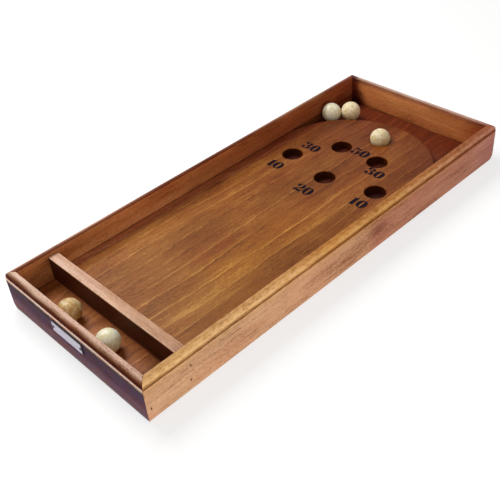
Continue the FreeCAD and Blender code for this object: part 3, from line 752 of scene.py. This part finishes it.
playfield_top = 25 * MM
ink_film = 0.05 * MM
figure_height = 18
figure_gap = 0.8
figures = {
    "0": (
        15.2,
        "M 7.6 18 C 12.4 18 15.2 14.2 15.2 9 C 15.2 3.8 12.4 0 7.6 0 C 2.8 0 0 3.8 0 9 C 0 14.2 2.8 18 7.6 18"
        " M 7.6 16.3 C 8.7 16.3 9.0 13 9.0 9 C 9.0 5 8.7 1.7 7.6 1.7 C 6.5 1.7 6.2 5 6.2 9"
        " C 6.2 13 6.5 16.3 7.6 16.3",
    ),
    "1": (
        9.0,
        "M 7.6 18 L 5.9 18 C 4.6 16.5 2.5 15.4 0 15.2 L 0 14.3 L 1.6 14.3 L 1.6 1.1 L 0.2 0.9 L 0.2 0"
        " L 9 0 L 9 0.9 L 7.6 1.1 L 7.6 18",
    ),
    "2": (
        14.4,
        "M 7 18 C 11.4 18 13.8 16.2 13.8 13.2 C 13.8 10.8 12.2 9.2 9 7.4 C 6.6 6 5 5 4.2 3.9"
        " C 5.2 4.6 6.2 4.9 7.3 4.9 C 9.6 4.9 10.2 3.7 11.6 3.7 C 12.6 3.7 13.2 4.4 13.4 6 L 14.4 6"
        " C 14.3 2.2 13.3 0 10.7 0 C 8.6 0 7.2 0.9 4.9 0.9 C 3.5 0.9 2.3 0.6 1.4 0 L 0.4 0"
        " C 0.5 3.2 2.3 5 5.6 7.6 C 7.6 9.2 8.4 10.8 8.4 13.2 C 8.4 15.9 7.9 17.2 6.6 17.2"
        " C 5.7 17.2 5 17 4.5 16.5 C 5.6 16.2 6.3 15.1 6.3 13.9 C 6.3 12.3 5.1 11.1 3.4 11.1"
        " C 1.6 11.1 0.4 12.3 0.4 14 C 0.4 16.3 2.9 18 7 18",
    ),
    "3": (
        14.0,
        "M 6.6 18 C 10.6 18 13 16.3 13 13.5 C 13 11.4 11.7 10.1 9.3 9.5 C 12.3 9 14 7.4 14 4.9"
        " C 14 1.7 11.1 0 6.7 0 C 2.8 0 0 1.7 0 4.1 C 0 5.7 1.2 6.9 2.9 6.9 C 4.6 6.9 5.8 5.8 5.8 4.2"
        " C 5.8 3 5.1 2.1 4.4 1.5 C 4.9 1 5.7 0.8 6.5 0.8 C 8 0.8 8.6 2.2 8.6 4.9 C 8.6 7.6 7.6 8.9 5.4 9.1"
        " L 5.4 9.9 C 7.3 10.1 8.1 11.3 8.1 13.6 C 8.1 16 7.6 17.2 6.4 17.2 C 5.7 17.2 5 17 4.6 16.7"
        " C 5.4 16.1 5.9 15.3 5.9 14.2 C 5.9 12.7 4.7 11.6 3.2 11.6 C 1.6 11.6 0.5 12.7 0.5 14.2"
        " C 0.5 16.4 2.9 18 6.6 18",
    ),
    "5": (
        14.0,
        "M 1.9 18 C 4 17.3 5.6 17 7.4 17 C 9.6 17 11.2 17.4 12.6 18 C 12.9 15.2 11.4 13 8.2 13"
        " C 6 13 4.4 13.6 2.8 14.4 L 2.8 10.2 C 4 11.2 5.4 11.6 7.2 11.6 C 11.4 11.6 14 9.4 14 6"
        " C 14 2.2 11.2 0 6.8 0 C 2.7 0 0 1.8 0 4.2 C 0 5.8 1.2 7 2.9 7 C 4.7 7 5.9 5.8 5.9 4.2"
        " C 5.9 3 5.2 2 4.3 1.5 C 4.9 1 5.7 0.8 6.6 0.8 C 8.1 0.8 8.7 2.4 8.7 5.9 C 8.7 9.2 8.1 10.7 6.3 10.7"
        " C 4.9 10.7 3.6 10 2.9 8.9 L 1.9 8.9 L 1.9 18",
    ),
}
scores = [
    ("number_10_left", "10", -78.0, 88.6),
    ("number_30_left", "30", -68.5, 157.1),
    ("number_30_right", "30", 49.0, 161.7),
    ("number_10_right", "10", 77.0, 90.9),
    ("number_20", "20", -2.5, 66.9),
    ("number_50", "50", -1.0, 191.1),
]


def outlines(text):
    """The closed paths of a drawn figure, each a list of (start, first handle, second handle, end)."""
    words = text.split()
    paths, spot, at = [], None, 0
    while at < len(words):
        count = {"M": 2, "L": 2, "C": 6}[words[at]]
        numbers = [float(w) for w in words[at + 1 : at + 1 + count]]
        points = list(zip(numbers[::2], numbers[1::2]))
        if words[at] == "M":
            paths.append([])
        elif words[at] == "L":
            thirds = [tuple(a + (b - a) * k / 3 for a, b in zip(spot, points[0])) for k in (1, 2)]
            paths[-1].append((spot, *thirds, points[0]))
        else:
            paths[-1].append((spot, *points))
        spot = points[-1]
        at += count + 1
    return paths


def print_number(name, text, x, y):
    """Lays one number on the playfield, its middle at x, y, as a thin film of ink."""
    drawn = bpy.data.curves.new(name, "CURVE")
    drawn.dimensions = "2D"
    drawn.fill_mode = "BOTH"
    drawn.extrude = ink_film / 2
    drawn.resolution_u = 6
    left = -(sum(figures[c][0] for c in text) + figure_gap * (len(text) - 1)) / 2
    for letter in text:
        for path in outlines(figures[letter][1]):
            spline = drawn.splines.new("BEZIER")
            spline.bezier_points.add(len(path) - 1)
            spline.use_cyclic_u = True
            for i, (start, handle, _, _) in enumerate(path):
                knot = spline.bezier_points[i]
                knot.handle_left_type = knot.handle_right_type = "FREE"
                for part, (u, v) in (("handle_left", path[i - 1][2]), ("co", start), ("handle_right", handle)):
                    setattr(knot, part, ((left + u) * MM, (v - figure_height / 2) * MM, 0))
        left += figures[letter][0] + figure_gap
    sheet = added(name + "_outline", drawn)
    mesh = evaluated(sheet)
    bpy.data.objects.remove(sheet)
    mesh.transform(Matrix.Translation((x * MM, y * MM, playfield_top + ink_film * 0.3)))
    seams = bmesh.new()
    seams.from_mesh(mesh)
    bmesh.ops.remove_doubles(seams, verts=seams.verts, dist=0.001 * MM)
    bmesh.ops.recalc_face_normals(seams, faces=seams.faces)
    seams.to_mesh(mesh)
    seams.free()
    mesh.materials.clear()
    mesh.materials.append(ink)
    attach(added(name, mesh), "case")


ink, tree, shader = new_material("stencil_ink", Specular_IOR_Level=0.05)
place = grain_place(tree, 0)
thin = noise(tree, place, 3.0, 0.6, (1.1, 0.07, 1.1))
colour = mixed(tree, span(tree, thin, 0.4, 0.75), tint(10, 2, 14), tint(36, 16, 20))
holes = span(tree, noise(tree, place, 3.0, 0.6, (1.6, 0.35, 1.6)), 0.24, 0.3)
dress(tree, shader, colour, span(tree, thin, 0.3, 0.7, 0.5, 0.7), thin, 0.08 * MM, Alpha=holes)
for score in scores:
    print_number(*score)


# --- Crossbar ---
# A straight beech bar on edge that parts the return tray from the playfield. Its top edge is eased and worn
# pale by the cue; its face to the tray, turned away from the light, is darkened nearly to black: painted shade.

crossbar_near = -274.7 * MM
crossbar_thickness = 14.5 * MM
crossbar_top = 51.3 * MM
crossbar_half_run = 124.8 * MM
crossbar_round = 0.8 * MM


def crossbar_section():
    """The bar seen from its end: back is the face to the playfield, tray the face to the return tray."""
    width, ease, low, high = crossbar_thickness, crossbar_round, floor_level, crossbar_top
    climb = [low + (high - low) * k / 8 for k in range(1, 8)]
    points = [point(x, low, "foot") for x in (0, width / 2, width)]
    points += [point(width, y, "back") for y in climb]
    points += [point(width, high - 2.4 * ease, "back", arris=0.3)]
    for middle, start in ((width - ease, 0), (ease, 90)):
        for k in range(6):
            a = math.radians(start + 18 * k)
            x, y = middle + ease * math.cos(a), high - ease * (1 - math.sin(a))
            points.append(point(x, y, "top", arris=0.9))
        if start == 0:
            points += [point(x, high, "top", arris=0.2) for x in (width - 3 * ease, width / 2, 3 * ease)]
    points += [point(0, high - 2.4 * ease, "tray", arris=0.3)]
    return points + [point(0, y, "tray") for y in climb[::-1]]


crossbar_finish = stained_beech(
    "crossbar_beech", 6.0, ((134, 88, 62), (188, 140, 106), (220, 180, 148)), 90,
    {"Ring Width": 16.0, "Wander": 4.0, "Ring Depth": 0.3, "Streak Depth": 0.9, "Fibre Depth": 1.1},
    coats=[
        ("top, Y 20 100", (0.88, 0.88, 0.8)),
        ("top, Y 0 -60", (1.02, 1.18, 1.4)),
        ("top, Y 106 122", (0.75, 0.7, 0.64)),
        ("arris", (230, 190, 158), 0.6),
        # The face to the tray is darkened nearly to black: painted shade.
        ("tray", (0.12, 0.05, 0.035)),
        ("back", (0.8, 0.7, 0.6)),
        mitre_wash,
    ],
)
crossbar = build(
    "crossbar_bar", section_mesh("crossbar_section", crossbar_section()), moulding, Half_Run=crossbar_half_run,
    Mitre=0.0, Stations=170, Seed=0.91, Turn=math.radians(90), Place=(0, crossbar_near, 0),
    Finish=crossbar_finish,
)
bore(crossbar, brad_bores([1, -1], "crossbar_brads"))
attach(crossbar, "case")
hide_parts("crossbar")


# --- Brads and screws ---
# Steel brads driven through the side rails hold the crossbar and the mitres, their heads punched just below the
# surface. Six slotted countersunk screws, driven from below, hold the playfield board to the base panel.


def driven_tree():
    """A fastener turned from its outline, with a slot if it has one, set at each spot the way it is driven."""
    inputs = {
        "Outline": "Geometry", "Facets": 24, "Slotted": False, "Slot": (1 * MM, 10 * MM, 2 * MM), "Seed": 1,
        "Finish": "Material",
    }
    tree, given, out = new_tree("driven_fastener", inputs)

    def mark(name, kind="FLOAT"):
        return first(tree, "InputNamedAttribute", {"Name": name}, data_type=kind)

    inputs = {"Geometry": given["Outline"], "Selection": calc(tree, "GREATER_THAN", mark("spot"), 0.5)}
    spots, outline = put(tree, "SeparateGeometry", inputs, domain="POINT").outputs
    line = first(tree, "MeshToCurve", {"Mesh": outline})
    ring = first(tree, "CurvePrimitiveCircle", {"Resolution": given["Facets"], "Radius": 1.0})
    inputs = {"Curve": line, "Profile Curve": ring, "Scale": mark("girth"), "Fill Caps": True}
    body = first(tree, "CurveToMesh", inputs)
    blade = first(tree, "MeshCube", {"Size": given["Slot"]})
    cut = first(tree, "MeshBoolean", {0: body, 1: blade}, operation="DIFFERENCE")
    body = first(tree, "Switch", {"Switch": given["Slotted"], "False": body, "True": cut}, input_type="GEOMETRY")
    way = first(tree, "AlignRotationToVector", {"Vector": mark("way", "FLOAT_VECTOR")}, axis="Z")
    inputs = {"Min": (0.0, 0.0, 0.0), "Max": (0.0, 0.0, math.pi), "Seed": given["Seed"]}
    twist = first(tree, "RandomValue", inputs, data_type="FLOAT_VECTOR")
    inputs = {"Rotation": way, "Rotate By": first(tree, "EulerToRotation", {0: twist})}
    way = first(tree, "RotateRotation", inputs, rotation_space="LOCAL")
    inputs = {"Points": first(tree, "MeshToPoints", {"Mesh": spots}), "Instance": body, "Rotation": way}
    return hand_over(tree, given, out, first(tree, "InstanceOnPoints", inputs))


def fastener_mesh(name, outline, spots):
    """The outline of a fastener in millimetres, a radius for each depth from its head, and the spots where it is
    driven, each with its way."""
    line = [(0, 0, depth * MM) for depth, _ in outline]
    edges = [(i, i + 1) for i in range(len(line) - 1)]
    girths = [girth * MM for _, girth in outline] + [0] * len(spots)
    marks = {"girth": girths, "spot": [0] * len(line) + [1] * len(spots)}
    mesh = marked_mesh(name, line + [spot for spot, _ in spots], edges, marks)
    ways = [0.0] * (3 * len(line)) + [c for _, way in spots for c in way]
    mesh.attributes.new("way", "FLOAT_VECTOR", "POINT").data.foreach_set("vector", ways)
    return mesh


def aged_steel(name, bright, dull, metal, rough):
    """Steel with dull patches of oxide over a brighter surface."""
    material, tree, shader = new_material(name)
    patches = noise(tree, grain_place(tree, 0), 5.0, 0.65, (0.9, 0.9, 0.9))
    colour = mixed(tree, span(tree, patches, 0.42, 0.62), tint(*bright), tint(*dull))
    gloss = span(tree, patches, 0.4, 0.7, rough, rough + 0.3)
    shine = span(tree, patches, 0.42, 0.62, metal, metal * 0.3)
    dress(tree, shader, colour, gloss, patches, 0.1 * MM, Metallic=shine)
    return material


driven = driven_tree()
blackened = aged_steel("blackened_steel", (46, 38, 36), (34, 20, 14), 0.6, 0.5)
head, neck, shank, tip = (size / MM for size in (*brad_head, brad_shank, brad_length))
brad_crown = [(0, 0.85), (0.1, 0.97), (0.25, head), (0.75, 0.96)]
brad_outline = [*brad_crown, (neck, shank), (tip - 2.5, shank), (tip, 0.08)]
for node, rows in brad_rows.items():
    spots = [((side * (case_side - brad_sink), y, z), (-side, 0, 0)) for side in (-1, 1) for y, z in rows]
    brads = build(
        node + "_row", fastener_mesh(node, brad_outline, spots), driven, Facets=20, Seed=3, Finish=blackened,
    )
    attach(brads, "case")
    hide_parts(node)

zinc = aged_steel("zinc_plated_steel", (196, 194, 188), (120, 116, 104), 0.9, 0.34)
thread = [(k * 0.45, 1.5 if k % 2 else 1.12) for k in range(12, 27)]
screw_outline = [(0, 2.9), (0.12, 3), (0.35, 3), (2.4, 1.5), (5, 1.5), *thread, (14, 0.1)]
screw_spots = [
    ((x * MM, y * MM, floor_level - panel_thickness), (0, 0, 1))
    for x in (-105, 105)
    for y in (-230.2, -43.725, 142.75)
]
screws = build(
    "playfield_screw_set", fastener_mesh("playfield_screws", screw_outline, screw_spots), driven, sharp=28,
    Facets=32, Slotted=True, Slot=(0.9 * MM, 8 * MM, 2.2 * MM), Seed=5, Finish=zinc,
)
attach(screws, "case")
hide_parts("playfield_screws")


# --- Nameplate ---
# A bare brushed aluminium plate on the near end board, held by two low round-headed pins. Its top and right
# edges are darkened, a painted shadow, and it is darker round the pin heads.

plate_finish, tree, shader = new_material("brushed_plate")
place = grain_place(tree, 0)
brushed = noise(tree, place, 4.0, 0.65, (0.05, 0.05, 4.0))
scuffs = noise(tree, place, 5.0, 0.7, (0.25, 0.25, 0.5))
across, _, up = parts(tree, place)
plate_right, plate_high, plate_front = 26.5, 43.1, -333.4
head_darkening = (1.5, 2.6)
# Clean metal in the middle; darkened along the top and right edges, a painted shadow, and round the pin heads.
rim = span(tree, across, plate_right - 0.3, plate_right - 1.8) * span(tree, up, plate_high, plate_high - 1.0)
for x, _, z in pin_spots:
    inputs = {0: place, 1: (x / MM, plate_front, z / MM)}
    reach = put(tree, "VectorMath", inputs, operation="DISTANCE").outputs["Value"]
    rim = rim * span(tree, reach, *head_darkening)
metal = mixed(tree, span(tree, brushed, 0.3, 0.7), tint(176, 172, 186), tint(206, 202, 216))
metal = mixed(tree, span(tree, scuffs, 0.5, 0.75, 0.0, 0.5), metal, tint(150, 146, 160))
metal = mixed(tree, rim, tint(38, 30, 34), metal)
gloss = span(tree, scuffs, 0.3, 0.75, 0.34, 0.55)
dress(tree, shader, metal, gloss, brushed, 0.06 * MM, Metallic=span(tree, rim, 0.0, 1.0, 0.25, 1.0))
refinish("nameplate", plate_finish)

pin_dome = [(0, 0.35), (0.05, 0.75), (0.16, 1.1), (0.34, 1.36), (0.55, 1.5), (0.7, 1.5)]
pin_outline = [*pin_dome, (0.7001, 0.7), (9.7, 0.7), (11.2, 0.08)]
pin_stand = 2.2 * MM
pins = build(
    "nameplate_pin_pair",
    fastener_mesh("nameplate_pins", pin_outline, [((x, y - pin_stand, z), (0, 1, 0)) for x, y, z in pin_spots]),
    driven, Facets=28, Seed=9, Finish=blackened,
)
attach(pins, "case")
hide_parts("nameplate_pins")


# --- Balls ---
# Five turned balls of cream composition, mottled and polished by use. Two wait in the return tray, two lie in
# the gutter and one is in the head cup.

ball_radius = 15.25 * MM
dints_a_metre, dips_a_metre = 130.0, 60.0


def ball_tree():
    """A cast ball, dinted here and there by years of knocks, put in its place."""
    sizes = {"Radius": 15 * MM, "Dint": 0.1 * MM, "Seed": 0.0, "Place": "Vector"}
    inputs = {"Blank": "Geometry", **sizes, "Finish": "Material"}
    tree, given, out = new_tree("dinted_ball", inputs)
    ball = first(tree, "MeshIcoSphere", {"Radius": given["Radius"], "Subdivisions": 6})
    moved = shifted(tree, first(tree, "InputPosition"), *[given["Seed"]] * 3)
    knock = first(tree, "TexVoronoi", {"Vector": moved, "Scale": dints_a_metre, "Randomness": 1.0})
    sunk = noise(tree, moved, 2.0, 0.5, dips_a_metre) * -0.8 + span(tree, knock, 0.0, 0.3, -1.0, 0.0)
    inputs = {"Geometry": knocked(tree, ball, sunk * given["Dint"]), "Translation": given["Place"]}
    return hand_over(tree, given, out, first(tree, "Transform", inputs))


def mottle_group():
    """Aged cream composition: clouded, with yellowed patches, chalky specks and a faint blush."""
    inputs = {"Vector": "Vector", "Cream": "Color", "Patch": "Color", "Chalk": "Color"}
    tree, given, out = new_tree("mottle", inputs, {"Color": "Color", "Clouds": "Float"})
    spot = given["Vector"]
    clouds = noise(tree, spot, 4.0, 0.6, 0.14)
    cells = first(tree, "TexVoronoi", {"Vector": spot, "Scale": 0.24}, feature="SMOOTH_F1")
    yellowed = span(tree, cells * 0.4 + clouds * 0.8, 0.44, 0.7)
    colour = mixed(tree, yellowed, given["Cream"], given["Patch"])
    blush = span(tree, noise(tree, spot, 3.0, 0.6, 0.19), 0.46, 0.64)
    colour = mixed(tree, blush, colour, (1.0, 0.9, 0.84, 1.0), "MULTIPLY")
    specks = span(tree, noise(tree, spot, 5.0, 0.7, 0.5), 0.55, 0.72, 0.0, 0.6)
    feed(tree, out, {"Color": mixed(tree, specks, colour, given["Chalk"]), "Clouds": clouds})
    return tree


balls = {
    "ball_1": ((-109.45, 251.1, 28.55), (255, 243, 212), (232, 214, 166)),
    "ball_2": ((-87.85, 273.05, 28.55), (249, 227, 190), (220, 194, 144)),
    "ball_3": ((0.0, 236.25, 28.55), (244, 222, 182), (214, 190, 140)),
    "ball_4": ((-46.0, -301.5, 28.55), (220, 192, 146), (178, 140, 80)),
    "ball_5": ((31.0, -301.5, 28.55), (255, 249, 214), (234, 221, 166)),
}
dinted = ball_tree()
mottled = mottle_group()
for number, (node, (spot, cream, patch)) in enumerate(balls.items()):
    finish, tree, shader = new_material(
        node + "_composition",
        Subsurface_Weight=0.7, Subsurface_Radius=(1.0, 0.9, 0.8), Subsurface_Scale=60 * MM,
        Coat_Weight=0.06, Coat_Roughness=0.25, Specular_IOR_Level=0.3,
    )
    place = grain_place(tree, 0, (number * 83.0, number * 47.0, 0.0))
    inputs = {"Vector": place, "Cream": tint(*cream), "Patch": tint(*patch), "Chalk": tint(244, 238, 214)}
    mix = put(tree, "Group", inputs, node_tree=mottled).outputs
    gloss = span(tree, mix["Clouds"], 0.3, 0.7, 0.32, 0.48)
    dress(tree, shader, mix["Color"], gloss, mix["Clouds"], 0.3 * MM, 0.2)
    ball = build(
        node + "_cast", bpy.data.meshes.new(node + "_blank"), dinted, sharp=60, Radius=ball_radius,
        Dint=0.16 * MM, Seed=number * 0.37, Place=tuple(c * MM for c in spot), Finish=finish,
    )
    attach(ball, node)
    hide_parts(node)


# --- Stage, light and camera ---
# A plain pale floor under soft light from above on the left, with a weaker fill from the right.

floor_mesh = bpy.data.meshes.new("studio_floor")
far = 9
floor_mesh.from_pydata([(-far, -far, 0), (far, -far, 0), (far, far, 0), (-far, far, 0)], [], [(0, 1, 2, 3)])
added("studio_floor", floor_mesh)
paper = bpy.data.materials.new("studio_paper")
paper.use_nodes = True
paper.node_tree.nodes.clear()


def seen_rays(tree):
    """1 for rays that show the surroundings: straight to the camera, or by way of a shiny or clear surface."""
    rays = put(tree, "LightPath").outputs
    shown = calc(tree, "MAXIMUM", rays["Is Camera Ray"], rays["Is Glossy Ray"])
    return calc(tree, "MAXIMUM", shown, rays["Is Transmission Ray"])


sheets = paper.node_tree
matt = first(sheets, "BsdfDiffuse", {"Color": (0.35, 0.35, 0.35, 1)})
place = put(sheets, "TexCoord").outputs["Object"]
reach = put(sheets, "VectorMath", {0: place}, operation="LENGTH").outputs["Value"]
level = seen_rays(sheets) * span(sheets, reach, 0.7, 2.4, 0.68, 0.82)
glow = first(sheets, "Emission", {"Color": (1, 1, 1, 1), "Strength": level})
both = first(sheets, "AddShader", {0: matt, 1: glow})
put(sheets, "OutputMaterial", {"Surface": both})
floor_mesh.materials.append(paper)

world = bpy.data.worlds.new("studio")
bpy.context.scene.world = world
world.use_nodes = True
air = world.node_tree
level = span(air, seen_rays(air), 0.0, 1.0, 0.38, 1.0)
feed(air, air.nodes["Background"], {"Color": (1, 1, 1, 1), "Strength": level})

lamps = [
    ("window", (-0.93, -0.06, 1.3), (0, -0.06, 0.03), (0.85, 0.7), 22.0, (1.0, 0.985, 0.96)),
    ("fill", (1.05, -0.22, 0.11), (0.13, -0.1, 0.03), (0.5, 0.16), 7.5, (1.0, 0.95, 0.9)),
]
for name, spot, aim, (width, height), watts, colour in lamps:
    lamp = bpy.data.lights.new(name, "AREA")
    lamp.shape = "RECTANGLE"
    lamp.size = width
    lamp.size_y = height
    lamp.energy = watts
    lamp.color = colour
    holder = added(name, lamp)
    holder.location = spot
    holder.rotation_euler = (Vector(aim) - Vector(spot)).to_track_quat("-Z", "Y").to_euler()
    holder.visible_camera = False

# The camera stands at the player's right, above the near corner, and looks down along the board.
lens = bpy.data.cameras.new("camera")
lens.lens = 56.175
lens.clip_start = 0.02
lens.clip_end = 60
camera = added("camera", lens)
right = Vector((0.701919, 0.708764, -0.070449))
down = Vector((0.411272, -0.484069, -0.772355))
onward = Vector((-0.58152, 0.513157, -0.631272))
turn = Matrix((right, -down, -onward)).transposed().to_4x4()
eye = (0.619685, -0.593486, 0.659407)
camera.matrix_world = Matrix.Translation(eye) @ turn
bpy.context.scene.camera = camera
bpy.context.scene.view_settings.view_transform = "Standard"
